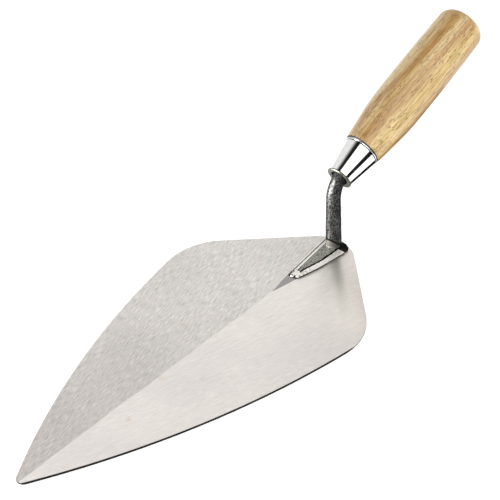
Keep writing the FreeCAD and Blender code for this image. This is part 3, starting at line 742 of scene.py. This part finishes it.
def lacquered_beech():
    material, tree, surface = new_material("lacquered_beech")
    whole = tree.nodes.new("ShaderNodeTexCoord").outputs["Object"]
    laid = tree.nodes.new("ShaderNodeMapping")
    laid.vector_type = "TEXTURE"
    laid.inputs["Location"].default_value = mouth + along * ferrule_end
    # the grain runs a little askew to the handle's axis
    laid.inputs["Rotation"].default_value = (math.radians(3), -handle_lift, math.radians(-2.5))
    tree.links.new(whole, laid.inputs["Vector"])
    split = tree.nodes.new("ShaderNodeSeparateXYZ")
    tree.links.new(laid.outputs[0], split.inputs[0])
    length, across, up = split.outputs
    slow = place(tree, reckon(tree, "MULTIPLY", length, 0.12), across, up)
    drift = cloud(tree, slow, 95, 4, 0.6, 0.4)
    grain = cloud(tree, place(tree, reckon(tree, "MULTIPLY", length, 0.06), across, up), 1300, 4, 0.7)
    colour = blend(tree, soft_step(tree, drift, 0.36, 0.64), (0.39, 0.215, 0.056), (0.62, 0.47, 0.225))
    tone = blend(tree, soft_step(tree, grain, 0.32, 0.68), (0.68, 0.61, 0.50), (1.20, 1.20, 1.20))
    colour = blend(tree, 1.0, colour, tone, "MULTIPLY")
    # the beech's rays: short dark dashes along the grain
    flecks = tree.nodes.new("ShaderNodeTexVoronoi")
    flecks.inputs["Scale"].default_value = 900
    flecks.inputs["Randomness"].default_value = 1.0
    tree.links.new(place(tree, reckon(tree, "MULTIPLY", length, 0.28), across, up), flecks.inputs["Vector"])
    dash = soft_step(tree, flecks.outputs["Distance"], 0.34, 0.20)
    some = soft_step(tree, cloud(tree, slow, 260, 2), 0.38, 0.52)
    dash = reckon(tree, "MULTIPLY", dash, some)
    colour = blend(tree, reckon(tree, "MULTIPLY", dash, 0.75), colour, (0.17, 0.075, 0.025))
    # painted shade in the narrow gap next to the ferrule, where the coat is also left off
    painted_gap_shade = soft_step(tree, length, 1.25 * MM, 1.0 * MM)
    colour = blend(tree, painted_gap_shade, colour, (0.012, 0.006, 0.003))
    tree.links.new(colour, surface.inputs["Base Color"])
    tree.links.new(soft_step(tree, painted_gap_shade, 0.0, 1.0, 0.55, 0.0), surface.inputs["Coat Weight"])
    tree.links.new(soft_step(tree, grain, 0.2, 0.8, 0.35, 0.5), surface.inputs["Roughness"])
    surface.inputs["Coat Roughness"].default_value = 0.16
    height = reckon(tree, "SUBTRACT", grain, reckon(tree, "MULTIPLY", dash, 0.8))
    tree.links.new(bump(tree, height, 0.05 * MM, 0.5), surface.inputs["Normal"])
    return material


finish_piece(handle, "handle", lacquered_beech(), 30)


# STAGE. A white table in a light tent. The tent's panels are bright; the seams between them, one
# overhead and one on the right, are dark, and polished metal shows them as black lines.
camera_azimuth, camera_elevation = math.radians(-47.81), math.radians(38.1)
camera_roll = math.radians(-1.74)
camera_distance = 1.4733
aim = Vector((-72.22, 4.10, 40)) * MM
lens = 179.7

bpy.ops.object.select_all(action="DESELECT")
bpy.ops.mesh.primitive_plane_add(size=6, location=(0, 0, -0.3 * MM))
table_top = bpy.context.object
table_top.name = "table_top"
table_white, tree, surface = new_material("table_white")
surface.inputs["Base Color"].default_value = (0.9, 0.9, 0.9, 1)
surface.inputs["Roughness"].default_value = 0.8
surface.inputs["Emission Color"].default_value = (1, 1, 1, 1)
surface.inputs["Emission Strength"].default_value = 0.35
table_top.data.materials.append(table_white)

camera = bpy.data.objects.new("camera", bpy.data.cameras.new("camera"))
bpy.context.collection.objects.link(camera)
camera.data.lens = lens
camera.data.sensor_width = 36
toward_camera = Vector((math.sin(camera_azimuth) * math.cos(camera_elevation),
                        -math.cos(camera_azimuth) * math.cos(camera_elevation), math.sin(camera_elevation)))
level = Vector((0, 0, 1)).cross(toward_camera).normalized()
upright = toward_camera.cross(level)
right = level * math.cos(camera_roll) + upright * math.sin(camera_roll)
looking = Matrix((right, toward_camera.cross(right), toward_camera)).transposed().to_4x4()
looking.translation = aim + toward_camera * camera_distance
camera.matrix_world = looking
bpy.context.scene.camera = camera

tent = bpy.data.worlds.new("light_tent")
tent.use_nodes = True
tree = tent.node_tree
way = tree.nodes.new("ShaderNodeTexCoord").outputs["Generated"]


def panel(value, first, start, end, last):
    """A bright panel: full from start to end, in degrees, and fading out to first and last."""
    rise = soft_step(tree, value, first, start)
    return reckon(tree, "MULTIPLY", rise, soft_step(tree, value, last, end))


# degrees round the handle's axis: 0 is left, 90 is over the handle, 180 is right
over_handle = Vector((-math.sin(handle_lift), 0, math.cos(handle_lift)))
round_handle = reckon(tree, "ARCTAN2", vector_step(tree, "DOT_PRODUCT", way, over_handle),
                      vector_step(tree, "DOT_PRODUCT", way, (0, 1, 0)))
round_handle = reckon(tree, "MULTIPLY", round_handle, 180 / math.pi)
right_panel = panel(round_handle, 90, 100, 152, 171)
below_right = panel(round_handle, -176, -158, -118, -95)
left_panel = panel(round_handle, -110, -75, 46, 76)
light = reckon(tree, "MULTIPLY", left_panel, 0.86)
light = reckon(tree, "MULTIPLY_ADD", right_panel, 2.0, light)
light = reckon(tree, "MULTIPLY_ADD", below_right, 1.1, light)
light = reckon(tree, "ADD", light, 0.01)
tree.nodes["Background"].inputs["Color"].default_value = (1, 1, 1, 1)
tree.links.new(light, tree.nodes["Background"].inputs["Strength"])
bpy.context.scene.world = tent


def strip_light(name, place_at, wide, tall, power):
    """A soft strip that only shines in glossy reflections, and lights no diffuse surface."""
    strip = bpy.data.objects.new(name, bpy.data.lights.new(name, "AREA"))
    bpy.context.collection.objects.link(strip)
    strip.data.shape = "RECTANGLE"
    strip.data.size, strip.data.size_y = wide, tall
    strip.data.energy = power
    strip.location = place_at
    strip.rotation_euler = (place_at - Vector((0, 0, 0.03))).to_track_quat("Z", "Y").to_euler()
    strip.visible_diffuse = False


strip_light("strip_left", Vector((-0.85, 0.53, 0.10)), 0.25, 0.3, 95)


def flag(name, size, place_at, turn):
    """A black card that only reflections see."""
    bpy.ops.object.select_all(action="DESELECT")
    bpy.ops.mesh.primitive_plane_add(size=1, location=place_at, rotation=turn)
    card = bpy.context.object
    card.name = name
    card.scale = (*size, 1)
    bpy.ops.object.transform_apply()
    card_black, tree, surface = new_material(name + "_black")
    surface.inputs["Base Color"].default_value = (0.01, 0.01, 0.01, 1)
    surface.inputs["Specular IOR Level"].default_value = 0.0
    card.data.materials.append(card_black)
    card.visible_camera = card.visible_diffuse = card.visible_shadow = False
    card.visible_transmission = card.visible_volume_scatter = False


flag("flag_right", (1.2, 0.115), (0.05, -0.27, 0.08), (math.pi / 2, 0, 0))
# a painted shadow: a black card under the handle that polished metal shows as the handle's shadow on the
# table
flag("shadow_card_below", (0.14, 0.05), (0.10, -0.022, 0.0005), (0, 0, 0))
bpy.context.scene.view_settings.view_transform = "Standard"
